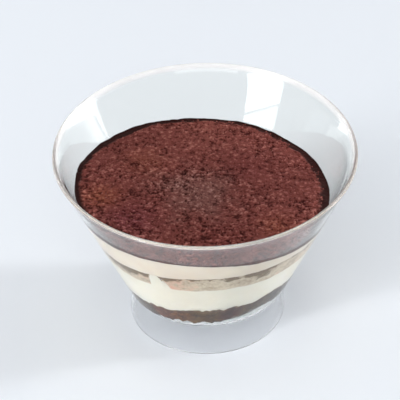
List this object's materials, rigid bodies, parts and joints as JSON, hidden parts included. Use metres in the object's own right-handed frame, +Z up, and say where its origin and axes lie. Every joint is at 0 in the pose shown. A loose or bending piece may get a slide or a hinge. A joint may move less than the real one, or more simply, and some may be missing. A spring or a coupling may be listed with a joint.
{
  "type": "tiramisu",
  "caption": "Tiramisu in a clear flared plastic dessert cup on a hollow foot: coffee-soaked sponge and mascarpone cream in layers under a dusted cocoa top.",
  "frame": {"origin": "centre of the foot ring's bottom edge, on the cup's axis", "axes": "+Z up along the cup's axis; -Y is the side that faces a viewer in front; the cup is round, and only the dessert's unevenness tells X from Y"},
  "size_m": [0.1, 0.1, 0.0655],
  "materials": {
    "clear_plastic": "clear, smooth, injection moulded",
    "soaked_sponge": "moist, open crumb",
    "mascarpone_cream": "smooth, softly glossy",
    "sponge": "soft, open crumb",
    "cocoa_powder": "matt powder, moist and dark at the wall"
  },
  "bodies": {
    "root": {"cup": "clear_plastic", "sponge_lower": "soaked_sponge", "cream_lower": "mascarpone_cream", "sponge_upper": "sponge", "cream_upper": "mascarpone_cream", "cocoa_top": "cocoa_powder"}
  },
  "joints": []
}
